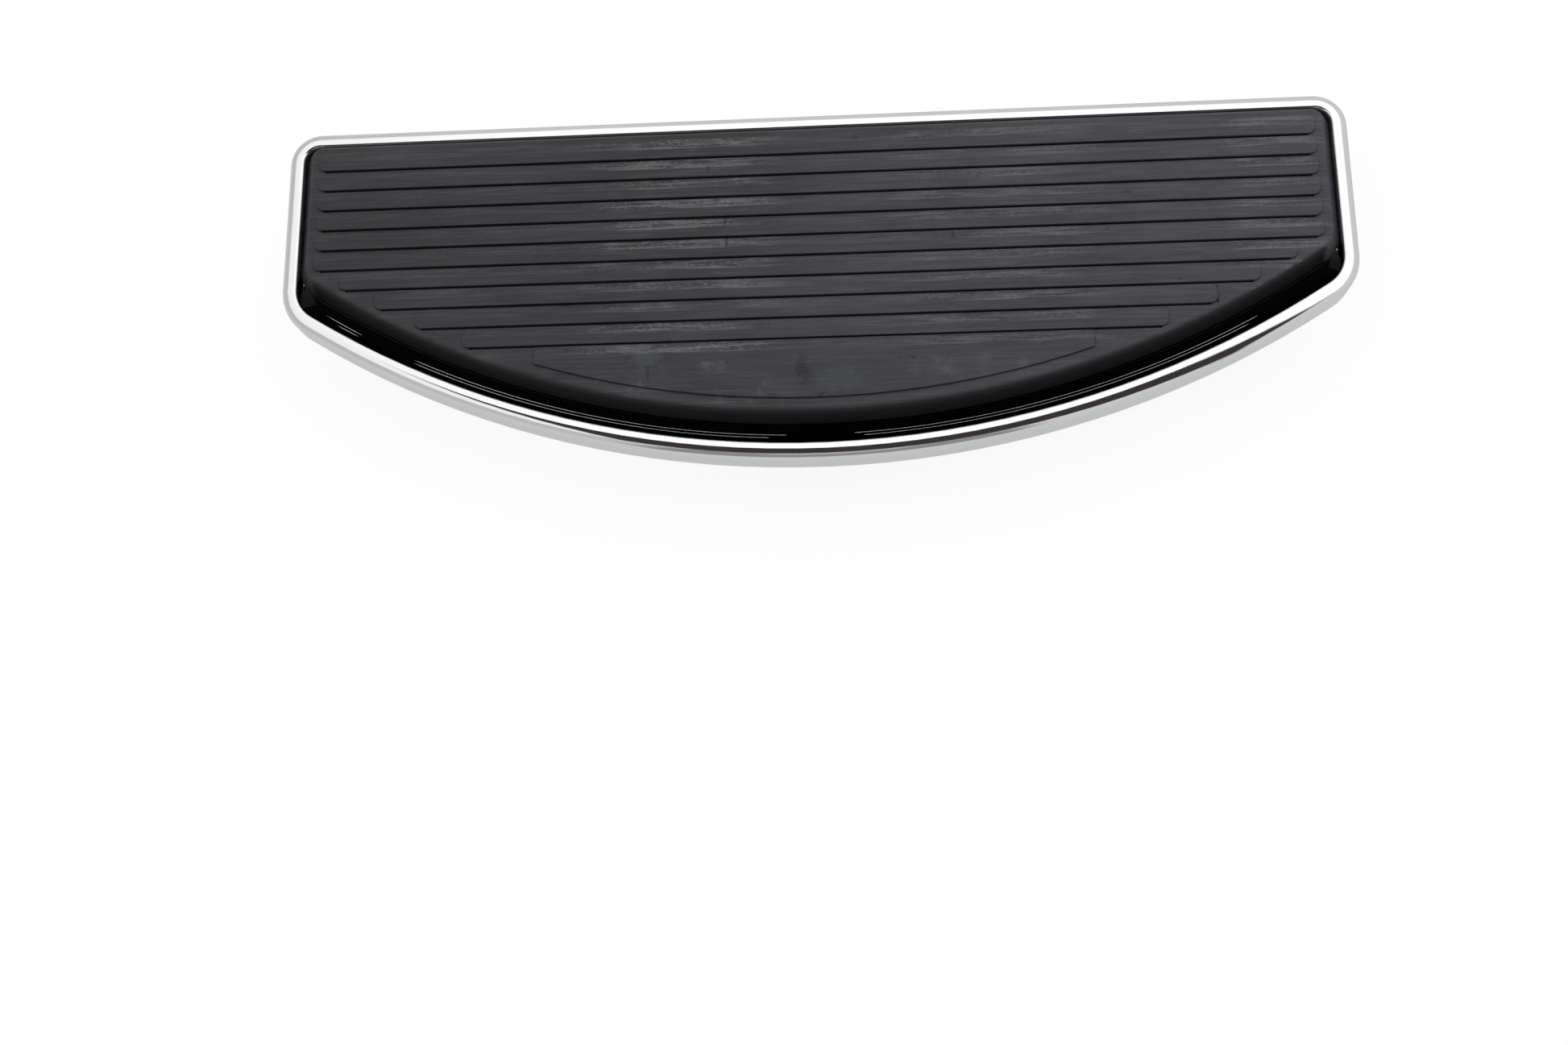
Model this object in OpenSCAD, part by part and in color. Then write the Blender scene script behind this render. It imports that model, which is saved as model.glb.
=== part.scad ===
// Motorcycle floorboard: a chrome plated pan cast in one piece, a moulded rubber tread that is
// pulled into it by four nipples, and a turned scrape peg screwed into a slanted boss.
// Frame: X along the board, Y across it with the straight edge at +Y, Z up.
// The origin is on the pivot axis, midway between the two lugs. All sizes are in millimetres.

/* [Build] */
// Piece to show

/* [Pan outline] */
// Length of the board
pan_length = 348; // [340:1:356]
// Depth from the straight edge to the middle of the curved edge
pan_depth = 118.3; // [116:0.1:122]
// Radius of the curved edge
curve_r = 309.252; // [306:0.001:312]
// Radius of the corners on the straight edge
edge_corner_r = 10.5; // [10:0.5:13]
// Radius of the corners where the curve begins
curve_corner_r = 16.752; // [15:0.001:18]
// Distance from the pivot axis to the straight edge
pivot_to_edge = 9.5; // [9.2:0.1:10]

/* [Rim section] */
// Height of the rim from its crown to its lower edge
rim_height = 12; // [11.5:0.1:13]
// Width of the rim
rim_width = 5.5; // [5.2:0.1:5.8]
// Radius of the crown on its outer side
crown_outer_r = 3.2; // [2.8:0.1:3.4]
// Radius of the crown on its inner side
crown_inner_r = 1; // [0.8:0.1:1.3]
// Radius on both lower edges of the rim
rim_foot_r = 1.6; // [1:0.1:2]
// Radius of the hollow between rim and floor on the underside
floor_fillet = 1.2; // [0.8:0.1:1.5]
// Radius of the hollow between rim and floor on top
tray_fillet = 0.8; // [0.5:0.1:1]
// Slope of the hollow ledge along the curved rim where it leaves the tread
ledge_foot_slope = 10; // [8:1:14]
// Slope of the ledge where it meets the rim
ledge_rim_slope = 40; // [34:1:42]
// Depth of the floor below the crown
floor_drop = 4.5; // [4:0.1:5]
// Thickness of the floor
floor_thickness = 3; // [2.6:0.1:3.4]

/* [Walls and lugs] */
// Distance from the pivot axis up to the rim crown
pivot_to_crown = 17.2; // [16.8:0.1:17.6]
// Depth of the lugs and the cross wall below the floor
lug_depth = 17.5; // [17.2:0.1:18]
// Distance between the middles of the two lugs
lug_spacing = 109.8; // [108:0.2:112]
// Width of each lug
lug_width = 10.3; // [9.6:0.1:11]
// Radius of the round nose of each lug
nose_r = 8.8; // [8.6:0.1:9]
// Distance from the straight edge to the front of the nose
nose_setback = 3; // [2.6:0.1:3.4]
// Radius of the pivot bores
pivot_r = 4.2; // [3.9:0.05:4.3]
// Thickness of the cross wall
wall_thickness = 3.9; // [3.4:0.1:4.4]
// Distance from the straight edge to the middle of the cross wall
wall_setback = 50.5; // [49.5:0.5:51.5]
// Distance of the far end of each outer wall from the straight edge
wall_end_setback = 47; // [46:0.5:48]
// Depth of the outer walls where they meet the end bosses
wall_end_depth = 9; // [8.7:0.1:9.5]
// Radius on the free edges of lugs and walls
wall_edge_r = 1; // [0.6:0.1:1.3]
// Radius of the hollow at the foot of lugs and walls
wall_foot_r = 1.7; // [1.2:0.1:2]
// Radius of the inner corners between lugs and cross wall
pocket_corner_r = 3; // [2:0.5:4]
// Diameter of the ejector marks on the lugs
ejector_d = 7; // [6:0.5:8]

/* [Nipple bosses] */
// Distance of the end bosses from the ends of the board
boss_end_inset = 38.4; // [37:0.2:40]
// Distance of the end bosses from the straight edge
boss_end_setback = 54.8; // [54:0.2:56]
// Distance of the near middle boss from the straight edge
boss_near_setback = 31; // [30:0.5:32]
// Distance of the far middle boss from the curved edge
boss_far_inset = 26.1; // [25.6:0.1:27]
// Radius of the ring around the foot of each boss
boss_ring_r = 19.4; // [18.8:0.1:19.8]
// Height of that ring
boss_ring_height = 1.3; // [1:0.1:1.6]
// Radius of the dome of each boss
boss_r = 18; // [17.6:0.1:18.4]
// Radius on the shoulder of the dome
boss_shoulder_r = 4.6; // [4:0.1:5]
// Depth of each boss below the floor
boss_depth = 8.3; // [8:0.1:8.6]
// Radius of the hole through each boss
boss_hole_r = 9.6; // [9.3:0.1:9.8]
// Radius of the small round pad between the middle bosses
disc_r = 11.6; // [11:0.1:12]
// Depth of the small round pad
disc_depth = 2; // [1.6:0.1:2.4]
// Distance of the small round pad from the straight edge
disc_setback = 62.6; // [62:0.2:63.4]
// Radius of the drain hole
drain_r = 1.9; // [1.6:0.1:2.1]
// Position of the drain hole along the board
drain_x = 29.6; // [26:0.2:33]
// Distance of the drain hole from the straight edge
drain_setback = 4.4; // [4.2:0.1:4.8]

/* [Slanted bosses] */
// Distance of the hole face from the middle of the end boss, along the board
slant_boss_gap = 39.8; // [38.6:0.2:41]
// Distance of the hole face from the middle of the cross wall
slant_wall_gap = 10.6; // [10.2:0.1:11]
// Depth of the middle of the hole face below the floor
slant_depth = 7.8; // [7.6:0.1:8]
// Lean of the hole axis away from straight down
slant_lean = 40; // [38:1:42]
// Turn of the hole axis towards the curve, seen from below
slant_turn = 42; // [40:1:44]
// Radius of the round side of the slanted boss
slant_r = 10.6; // [10.2:0.1:11]
// Radius around the edge of the hole face
slant_edge_r = 1.3; // [0.9:0.1:1.6]
// Radius of the threaded hole, thread left plain
peg_hole_r = 2.5; // [2.3:0.05:2.7]
// Depth of the threaded hole
peg_hole_depth = 12; // [11:0.5:12.5]
// Radius of the countersink at its mouth
countersink_r = 3.9; // [3.6:0.1:4.2]

/* [Tread pad] */
// Height of the tread above the rim crown
tread_rise = 2; // [1.6:0.1:2.6]
// Play between the foot of the tread and the rim at the ends
tread_play = 0.1; // [0.1:0.05:0.4]
// How much wider than the rim's own corners the tread's corners are cut
corner_play = 0.3; // [0.2:0.1:0.5]
// Distance of the tread foot from the curved edge
tread_curve_inset = 12.2; // [12:0.1:12.6]
// Distance of the tread from the straight edge
tread_edge_inset = 5.9; // [5.8:0.1:6.4]
// Distance of the edge of the tread top from the straight edge
tread_top_inset = 7; // [6.7:0.1:7.3]
// Width of the slope around the tread
skirt_width = 3.5; // [3.2:0.1:3.7]
// Height of the upright foot of the tread
skirt_foot = 1.2; // [1:0.1:1.5]
// Radius of the slope of the tread on the corners of the straight edge
tread_edge_corner_r = 6.5; // [6.2:0.1:8]
// Radius of the tread foot on the corners of the curve
tread_curve_corner_r = 9.5; // [9:0.5:11]
// Distance from the straight edge to the first step of the tread
first_step = 15.4; // [15:0.1:16]
// Distance from one step to the next
step_pitch = 7.07; // [7:0.01:7.15]
// Number of straight steps
step_count = 10; // [9:1:10]
// Height of a step
step_height = 0.7; // [0.5:0.05:0.8]
// Width of the groove at the foot of a step
groove_width = 0.6; // [0.4:0.05:0.8]
// Depth of that groove
groove_depth = 0.6; // [0.4:0.05:0.8]
// Radius on the corners of each raised strip
strip_corner_r = 2.2; // [1.6:0.1:2.6]
// Distance of the strips from the ends of the tread top
strip_margin = 2.4; // [2:0.1:3]
// Distance of the strip ends from the curved edge of the tread top
strip_curve_margin = 1.2; // [1:0.1:2.4]
// Distance of the curved strip from the edge of the tread top
curve_strip_margin = 3.5; // [3.2:0.1:4]
// Width of the curved strip at its two ends
curve_strip_end_width = 5.4; // [5:0.1:6]

/* [Nipples] */
// Play between the neck of a nipple and its hole
neck_clearance = 0.1; // [0.05:0.05:0.2]
// Radius of the barb that grips the boss
barb_r = 10.7; // [10.4:0.1:11]
// Height of the upright band of the barb
barb_band = 1; // [0.6:0.1:1.4]
// Length of the nipple below the boss
nipple_length = 9.7; // [9:0.1:10.4]
// Radius of the nipple at its cut tip
nipple_tip_r = 6.6; // [6.2:0.1:7]
// Radius of the hollow in the nipple
nipple_hollow_r = 4.7; // [4.3:0.1:5]
// Depth of the hollow in the nipple
nipple_hollow_depth = 13; // [11:0.5:14]

/* [Scrape peg] */
// Radius of the flange
flange_r = 8.5; // [8:0.1:9]
// Thickness of the flange
flange_height = 1.8; // [1.5:0.1:2.1]
// Width of the hexagon across its flats
hex_width = 12; // [11:0.5:12.5]
// Height of the hexagon
hex_height = 4.4; // [4:0.1:5]
// Radius of the head
head_r = 5; // [4.7:0.1:5.3]
// Radius of the waist
waist_r = 3.5; // [3.2:0.1:3.8]
// Length of the waisted neck
neck_length = 7.8; // [7.2:0.1:8.4]
// Height of the upright band of the head
head_band = 2.3; // [2:0.1:2.6]
// Length of the shank in the hole
shank_length = 11; // [9:0.5:11]
// Play between the shank and its hole
shank_clearance = 0.05; // [0.03:0.01:0.08]

/* [Hidden] */
$fn = 96;
half_length = pan_length / 2;
edge_y = pivot_to_edge;
crown_z = pivot_to_crown;
floor_top_z = crown_z - floor_drop;
floor_z = floor_top_z - floor_thickness;
rim_foot_z = crown_z - rim_height;
curve_y = edge_y - pan_depth + curve_r;
rim_stub = 8;
lug_x = lug_spacing / 2;
lug_low_z = floor_z - lug_depth;
nose_y = edge_y - nose_setback - nose_r;
wall_y = edge_y - wall_setback;
boss_x = half_length - boss_end_inset;
boss_end_y = edge_y - boss_end_setback;
boss_near_y = edge_y - boss_near_setback;
boss_far_y = edge_y - pan_depth + boss_far_inset;
boss_low_z = floor_z - boss_depth;
wall_end_y = edge_y - wall_end_setback;
slant_x = boss_x - slant_boss_gap;
slant_face = [slant_x, wall_y - slant_wall_gap, floor_z - slant_depth];
slant_foot = slant_depth / sin(slant_lean) + 1;
tread_top_z = crown_z + tread_rise;
tread_height = tread_top_z - floor_top_z;
tread_half = half_length - rim_width - tread_play;
tread_curve_r = curve_r - tread_curve_inset;
tread_edge_y = edge_y - tread_top_inset + skirt_width;
skirt_reach = 5.8;
top_half = tread_half - skirt_width;
top_curve_r = tread_curve_r - skirt_width;
waist_cut_r = (pow(head_r - waist_r, 2) + pow(neck_length / 2, 2)) / (2 * (head_r - waist_r));
bosses = [[-boss_x, boss_end_y], [boss_x, boss_end_y], [0, boss_near_y], [0, boss_far_y]];

// Moves its children by a whole number and then by the rest, so that tangent arcs meet closely.
module placed(x, y) {
  translate([round(x), round(y), 0])
    translate([x - round(x), y - round(y), 0])
      children();
}

// Sweeps a section around a D shaped outline. The section lies at x <= 0 with its outer face at
// x = 0 and its height along y; the straight edge is at y = edge. The curved runs are full turns,
// cut along the line through the centres of both curves. The corner centre is set to a thousandth
// and its radius follows from it, so the arcs stay tangent.
module around(half, edge, edge_r, corner_r, big_y, big_r) {
  wanted_y = big_y - sqrt(pow(big_r - corner_r, 2) - pow(half - corner_r, 2));
  corner_y = round(wanted_y * 1000) / 1000;
  fit_r = (big_r * big_r - half * half - pow(big_y - corner_y, 2)) / (2 * (big_r - half));
  far_end = [2 * (half - fit_r), 2 * corner_y - big_y];
  tall = 2 * half;
  placed(edge_r - half, edge)
    rotate([90, 0, 90])
      linear_extrude(2 * (half - edge_r))
        children();
  for (side = [0, 1])
    mirror([side, 0, 0]) {
      placed(half - edge_r, edge - edge_r)
        rotate_extrude(angle = 90, start = 0)
          placed(edge_r, 0)
            children();
      placed(half, edge - edge_r)
        rotate([90, 0, 0])
          linear_extrude(edge - edge_r - corner_y)
            children();
      intersection() {
        placed(half - fit_r, corner_y)
          rotate_extrude()
            placed(fit_r, 0)
              children();
        translate([0, corner_y - tall, -half])
          cube([tall, tall, tall]);
        translate([0, 0, -half])
          linear_extrude(tall)
            polygon([[0, big_y], far_end, [2 * far_end[0], far_end[1]], [2 * far_end[0], big_y]]);
      }
    }
  intersection() {
    placed(0, big_y)
      rotate_extrude($fn = 720)
        placed(big_r, 0)
          children();
    translate([0, 0, -half])
      linear_extrude(tall)
        polygon([[0, big_y], [-far_end[0], far_end[1]], far_end]);
  }
}

// Hollow ledge along the inside of the curved rim; it ends inside the rim of the short sides.
module ledge() {
  foot = tread_curve_inset - 0.2;
  into_rim = 0.5;
  hollow_r = (foot - rim_width) / (sin(ledge_rim_slope) - sin(ledge_foot_slope));
  side = half_length - rim_width + into_rim;
  translate([0, curve_y, 0])
    intersection() {
      rotate_extrude($fn = 720)
        translate([curve_r, 0])
          difference() {
            translate([-foot, floor_z + 1])
              square([foot - rim_width + into_rim, crown_z - crown_inner_r - floor_z - 1]);
            translate([-foot - hollow_r * sin(ledge_foot_slope),
                       floor_top_z - 0.05 + hollow_r * cos(ledge_foot_slope)])
              circle(hollow_r);
          }
      translate([-side, -curve_r, 0])
        cube([2 * side, curve_r - (curve_y - edge_y) - edge_corner_r, crown_z]);
    }
}

// Plan area inside a D shaped outline, moved in by a distance, with plain corners.
module plan_area(half, edge, big_y, big_r, inset) {
  intersection() {
    translate([inset - half, edge - 2 * half])
      square([2 * (half - inset), 2 * half - inset]);
    translate([0, big_y])
      circle(big_r - inset, $fn = 720);
  }
}

// Hollow of a fillet whose corner is at the origin, filling the quarter x >= 0, y >= 0.
module cove(r) {
  difference() {
    square(r);
    translate([r, r])
      circle(r);
  }
}

// Rim section: rounded crown, floor stub with a hollow above and below it, rounded foot.
module rim_section() {
  difference() {
    union() {
      translate([-rim_width, rim_foot_z])
        square([rim_width, rim_height]);
      translate([-rim_stub, floor_z])
        square([rim_stub, floor_thickness]);
      translate([-rim_width, floor_top_z])
        mirror([1, 0])
          cove(tray_fillet);
      translate([-rim_width, floor_z])
        mirror([1, 0])
          mirror([0, 1])
            cove(floor_fillet);
    }
    translate([0, crown_z])
      mirror([1, 0])
        mirror([0, 1])
          cove(crown_outer_r);
    translate([-rim_width, crown_z])
      mirror([0, 1])
        cove(crown_inner_r);
    translate([0, rim_foot_z])
      mirror([1, 0])
        cove(rim_foot_r);
    translate([-rim_width, rim_foot_z])
      cove(rim_foot_r);
  }
}

// Upright section of a wall with rounded free edges, standing on y = 0.
module wall_section(width, height) {
  difference() {
    translate([-width / 2, 0])
      square([width, height]);
    translate([width / 2, height])
      mirror([1, 0])
        mirror([0, 1])
          cove(wall_edge_r);
    translate([-width / 2, height])
      mirror([0, 1])
        cove(wall_edge_r);
  }
}

// The same section with the hollows at its foot; it reaches into the floor.
module footed_section(width, height) {
  translate([0, -1])
    wall_section(width, height + 1);
  for (side = [0, 1])
    mirror([side, 0])
      translate([width / 2, 0])
        cove(wall_foot_r);
}

// Lug: straight run, round nose about a cross axis, and the upright front below the nose.
module lug() {
  run = nose_y - wall_y;
  translate([0, wall_y, floor_z])
    rotate([-90, 0, 0])
      linear_extrude(run)
        footed_section(lug_width, lug_depth);
  translate([0, nose_y, lug_low_z + nose_r])
    rotate([0, 90, 0])
      rotate_extrude(angle = 90, start = 0)
        rotate([0, 0, -90])
          wall_section(lug_width, nose_r);
  translate([0, nose_y, lug_low_z + nose_r])
    linear_extrude(floor_z + 1 - lug_low_z - nose_r)
      wall_section(lug_width, nose_r);
}

// Outer wall: its free edge falls from the lug to the end boss.
module outer_wall() {
  start = [lug_x, wall_y];
  reach = [boss_x - 14.5 - lug_x, wall_end_y - wall_y];
  length = norm(reach);
  fall = atan((lug_depth - wall_end_depth) / length);
  rise = 9;
  intersection() {
    translate([start[0], start[1], floor_z - lug_depth])
      rotate([0, 0, atan2(reach[1], reach[0])])
        rotate([0, -fall, 0])
          translate([0, 0, lug_depth + rise])
            rotate([0, 90, 0])
              linear_extrude(length / cos(fall))
                rotate([0, 0, -90])
                  wall_section(wall_thickness, lug_depth + rise);
    translate([0, wall_y - 30, lug_low_z - 5])
      cube([half_length, 60, lug_depth + 6]);
  }
  translate([start[0], start[1], floor_z])
    rotate([0, 0, atan2(reach[1], reach[0])])
      rotate([90, 0, 90])
        linear_extrude(length)
          for (side = [0, 1])
            mirror([side, 0])
              translate([wall_thickness / 2, 0])
                mirror([0, 1])
                  cove(wall_foot_r);
}

// Domed boss with a ring around its foot.
module boss() {
  rotate_extrude()
    difference() {
      union() {
        translate([0, -boss_depth])
          square([boss_r, boss_depth + 1]);
        translate([0, -boss_ring_height])
          square([boss_ring_r, boss_ring_height + 1]);
      }
      translate([boss_r, -boss_depth])
        mirror([1, 0])
          cove(boss_shoulder_r);
      translate([boss_ring_r, -boss_ring_height])
        mirror([1, 0])
          cove(0.8);
    }
}

// Small round pad with a rounded edge.
module disc() {
  rotate_extrude()
    difference() {
      translate([0, -disc_depth])
        square([disc_r, disc_depth + 1]);
      translate([disc_r, -disc_depth])
        mirror([1, 0])
          cove(1.4);
    }
}

// Half section across the slanted boss with a rounded face edge; the face is at y = 0.
module slant_section() {
  difference() {
    translate([0, -26])
      square([slant_r, 26]);
    translate([slant_r, 0])
      mirror([1, 0])
        mirror([0, 1])
          cove(slant_edge_r);
  }
}

// Places something in the frame of the hole: its axis is +Z and the hole face is at z = 0.
module at_slant_face() {
  translate(slant_face)
    rotate([0, 0, -slant_turn])
      rotate([0, 180 - slant_lean, 0])
        rotate([0, 0, 90])
          children();
}

// Slanted boss: round below, square towards the floor, cut level inside the floor.
module slanted_boss() {
  intersection() {
    at_slant_face() {
      rotate_extrude(angle = 180, start = 180)
        slant_section();
      for (side = [0, 1])
        mirror([side, 0, 0])
          rotate([-90, 0, 0])
            linear_extrude(slant_foot + 4)
              mirror([0, 1])
                slant_section();
    }
    translate([slant_x - 40, wall_y - 40, floor_z - 30])
      cube([80, 40, 31]);
  }
}

// Threaded hole with its countersink.
module peg_hole() {
  at_slant_face()
    rotate_extrude()
      polygon([
        [0, -peg_hole_depth - peg_hole_r * 0.6],
        [peg_hole_r, -peg_hole_depth],
        [peg_hole_r, peg_hole_r - countersink_r],
        [countersink_r, 0],
        [countersink_r, 1],
        [0, 1]
      ]);
}

// Pocket between the lugs runs out to the straight edge, so the rim has no foot there.
module edge_gap() {
  gap = lug_spacing - lug_width;
  translate([-gap / 2, edge_y, floor_z])
    rotate([90, 0, 90])
      linear_extrude(gap)
        union() {
          translate([-rim_width - floor_fillet - 0.5, -10])
            square([rim_width + floor_fillet + 1.5, 10]);
          mirror([1, 0])
            cove(1.5);
        }
}

// Cast pan with rim, floor, bosses, lugs and walls in one piece.
module pan() {
  color([0.86, 0.87, 0.88])
    difference() {
      union() {
        difference() {
          around(half_length, edge_y, edge_corner_r, curve_corner_r, curve_y, curve_r)
            rim_section();
          edge_gap();
        }
        ledge();
        translate([0, 0, floor_z])
          linear_extrude(floor_thickness)
            plan_area(half_length, edge_y, curve_y, curve_r, rim_stub - 1);
        for (at = bosses)
          translate([at[0], at[1], floor_z])
            boss();
        translate([0, edge_y - disc_setback, floor_z])
          disc();
        translate([lug_x, wall_y, floor_z])
          rotate([-90, 0, 90])
            linear_extrude(lug_spacing)
              footed_section(wall_thickness, lug_depth);
        for (side = [0, 1])
          mirror([side, 0, 0]) {
            translate([lug_x, 0, 0])
              lug();
            translate([lug_x - lug_width / 2, wall_y + wall_thickness / 2, lug_low_z + wall_edge_r])
              mirror([1, 0, 0])
                linear_extrude(lug_depth - wall_edge_r + 1)
                  cove(pocket_corner_r);
            outer_wall();
            slanted_boss();
          }
      }
      for (at = bosses)
        translate([at[0], at[1], boss_low_z - 1])
          cylinder(r = boss_hole_r, h = boss_depth + floor_thickness + 2);
      rotate([0, 90, 0])
        translate([0, 0, -lug_x - lug_width])
          cylinder(r = pivot_r, h = lug_spacing + 2 * lug_width);
      for (side = [0, 1])
        mirror([side, 0, 0]) {
          peg_hole();
          translate([lug_x, edge_y - 18.5, lug_low_z - 1])
            cylinder(d = ejector_d, h = 1.15);
        }
      translate([drain_x, edge_y - drain_setback, floor_z - 1])
        cylinder(r = drain_r, h = floor_thickness + 2, $fn = 48);
    }
}

// Skirt of the tread: foot cut back over the hollow of the rim, slope and a broken top edge.
module skirt_section() {
  polygon([
    [-skirt_reach, floor_top_z],
    [-tray_fillet, floor_top_z],
    [0, floor_top_z + tray_fillet],
    [0, floor_top_z + skirt_foot],
    [-skirt_width + 0.35, tread_top_z - 0.5],
    [-skirt_width - 0.3, tread_top_z],
    [-skirt_reach, tread_top_z]
  ]);
}

// Wedge of a raised strip: it climbs from its far side and drops in a step at its near side.
module strip_wedge(length, near_y, depth) {
  translate([-length / 2, near_y, tread_top_z])
    rotate([90, 0, 90])
      linear_extrude(length)
        polygon([[0, -1], [depth, -1], [depth, 0], [depth * 0.45, step_height], [0, step_height]]);
}

// Plan of a straight strip with rounded corners.
module strip_plan(half, near_y, depth) {
  difference() {
    translate([-half, near_y])
      square([2 * half, depth]);
    for (side = [0, 1])
      mirror([side, 0]) {
        translate([half, near_y])
          mirror([1, 0])
            cove(strip_corner_r);
        translate([half, near_y + depth])
          mirror([1, 0])
            mirror([0, 1])
              cove(strip_corner_r);
      }
  }
}

// Near edge of a straight strip, and half its length as the margin along the curve allows.
function strip_y(i) = edge_y - first_step - i * step_pitch;
function strip_half(i) =
  min(top_half - strip_margin, sqrt(pow(top_curve_r - strip_curve_margin, 2) - pow(curve_y - strip_y(i), 2)));

// Straight strips.
module straight_strips() {
  for (i = [0 : step_count - 1])
    intersection() {
      strip_wedge(pan_length, strip_y(i), step_pitch * 0.94);
      translate([0, 0, tread_top_z - 0.5])
        linear_extrude(step_height + 1)
          strip_plan(strip_half(i), strip_y(i), step_pitch * 0.94);
    }
}

// Grooves at the foot of the straight steps.
module step_grooves() {
  for (i = [0 : step_count - 1]) {
    half = strip_half(i) - strip_corner_r;
    translate([-half, strip_y(i) - groove_width, tread_top_z - groove_depth])
      cube([2 * half, groove_width, groove_depth + step_height]);
  }
}

// Last strip: straight on its far side, curved on its near side.
module curved_strip() {
  far_y = edge_y - first_step - step_count * step_pitch + step_pitch * 0.94;
  strip_r = top_curve_r - curve_strip_margin;
  half = sqrt(pow(strip_r, 2) - pow(curve_y - far_y + curve_strip_end_width, 2)) - 1;
  depth = far_y - curve_y + strip_r;
  intersection() {
    translate([-half, far_y - depth, tread_top_z])
      rotate([90, 0, 90])
        linear_extrude(2 * half)
          polygon([[0, -1], [depth, -1], [depth, 0], [depth - 4, step_height], [0, step_height]]);
    translate([0, curve_y, tread_top_z - 0.5])
      cylinder(r = strip_r, h = step_height + 1, $fn = 720);
  }
}

// Nipple: neck through the boss, barb against its face, hollow cut tip.
module nipple() {
  neck_r = boss_hole_r - neck_clearance;
  neck_top = floor_thickness + boss_depth;
  rotate_extrude()
    polygon([
      [0, neck_top + 1],
      [neck_r, neck_top + 1],
      [neck_r, 0],
      [barb_r, 0],
      [barb_r, -barb_band],
      [barb_r - 0.9, -barb_band - 0.9],
      [nipple_tip_r + 0.7, -nipple_length * 0.62],
      [nipple_tip_r, -nipple_length],
      [nipple_hollow_r, -nipple_length],
      [nipple_hollow_r * 0.8, nipple_hollow_depth - nipple_length],
      [0, nipple_hollow_depth - nipple_length]
    ]);
}

// What the rim takes off the tread at the right corner of the straight edge, with some play.
module corner_cut() {
  r = edge_corner_r - rim_width + corner_play;
  inset = edge_corner_r + corner_play;
  translate([half_length - inset, edge_y - inset, floor_top_z])
    difference() {
      cube([r + 2, r + 2, tread_height + 1]);
      translate([0, 0, -1])
        cylinder(r = r - tray_fillet, h = tread_height + 3);
      cylinder(r1 = r - tray_fillet, r2 = r, h = tray_fillet);
      translate([0, 0, tray_fillet])
        cylinder(r = r, h = tread_height + 1);
    }
}

// Body of the tread: skirt and inside, trimmed along the straight edge.
module tread_body() {
  intersection() {
    union() {
      around(tread_half, tread_edge_y, tread_edge_corner_r, tread_curve_corner_r,
             curve_y, tread_curve_r)
        skirt_section();
      translate([0, 0, floor_top_z])
        linear_extrude(tread_height)
          plan_area(tread_half, tread_edge_y, curve_y, tread_curve_r, skirt_reach - 0.6);
    }
    translate([-pan_length, edge_y - tread_edge_inset, floor_top_z])
      rotate([90, 0, 90])
        linear_extrude(2 * pan_length)
          polygon([
            [-2 * pan_depth, -1],
            [-tray_fillet, -1],
            [-tray_fillet, 0],
            [0, tray_fillet],
            [0, tread_height + 1],
            [-2 * pan_depth, tread_height + 1]
          ]);
  }
}

// Moulded tread with its skirt, stepped strips and four nipples in one piece.
module tread_pad() {
  color([0.12, 0.125, 0.13]) {
    difference() {
      union() {
        tread_body();
        straight_strips();
      }
      step_grooves();
      for (side = [0, 1])
        mirror([side, 0, 0])
          corner_cut();
    }
    curved_strip();
    for (at = bosses)
      translate([at[0], at[1], boss_low_z])
        nipple();
  }
}

// Turned peg: shank, flange, hexagon, waisted neck and head.
module scrape_peg() {
  hex_z = flange_height + hex_height;
  head_z = hex_z + neck_length;
  tip_z = head_z + head_band;
  color([0.84, 0.85, 0.86])
    at_slant_face() {
      rotate_extrude()
        difference() {
          union() {
            translate([0, -shank_length])
              square([peg_hole_r - shank_clearance, shank_length + 0.5]);
            square([flange_r, flange_height]);
            square([head_r, tip_z]);
          }
          translate([flange_r, flange_height])
            mirror([1, 0])
              mirror([0, 1])
                cove(0.8);
          translate([waist_r + waist_cut_r, hex_z + neck_length / 2])
            circle(waist_cut_r);
          translate([head_r, tip_z])
            mirror([1, 0])
              mirror([0, 1])
                cove(0.6);
          polygon([[0, tip_z - 0.5], [1, tip_z], [1, tip_z + 1], [0, tip_z + 1]]);
        }
      intersection() {
        translate([0, 0, flange_height - 0.5])
          cylinder(r = hex_width / sqrt(3), h = hex_height + 0.5, $fn = 6);
        translate([0, 0, flange_height - 0.5])
          cylinder(r1 = hex_width, r2 = hex_width / sqrt(3) - 0.5, h = hex_height + 0.5);
      }
    }
}

pan();
tread_pad();
scrape_peg();
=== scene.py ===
"""Motorcycle floorboard: the finishes, the small detail, the light tent and the camera.

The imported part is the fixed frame. Its pan, tread and scrape peg keep their shapes and get their
finishes here; the spare hole's thread, the nipples' torn tips and the ledge's lines are added.
All sizes are in metres, with X along the board, the straight edge at +Y and Z up.
"""

import logging
import math
from dataclasses import dataclass, field
from enum import Enum

import bmesh
import bpy
from mathutils import Matrix, Vector, noise


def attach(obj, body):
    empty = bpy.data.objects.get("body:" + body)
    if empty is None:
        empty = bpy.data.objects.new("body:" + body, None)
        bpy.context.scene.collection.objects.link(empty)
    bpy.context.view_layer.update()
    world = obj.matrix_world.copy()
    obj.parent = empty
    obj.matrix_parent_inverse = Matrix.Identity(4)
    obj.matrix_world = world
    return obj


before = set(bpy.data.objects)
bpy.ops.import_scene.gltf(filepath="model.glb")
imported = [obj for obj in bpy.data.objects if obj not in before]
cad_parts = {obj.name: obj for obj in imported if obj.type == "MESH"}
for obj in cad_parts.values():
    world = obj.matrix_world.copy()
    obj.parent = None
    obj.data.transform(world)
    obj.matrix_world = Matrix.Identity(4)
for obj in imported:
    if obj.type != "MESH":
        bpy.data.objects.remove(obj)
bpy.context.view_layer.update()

LOG = logging.getLogger("floorboard")
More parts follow.
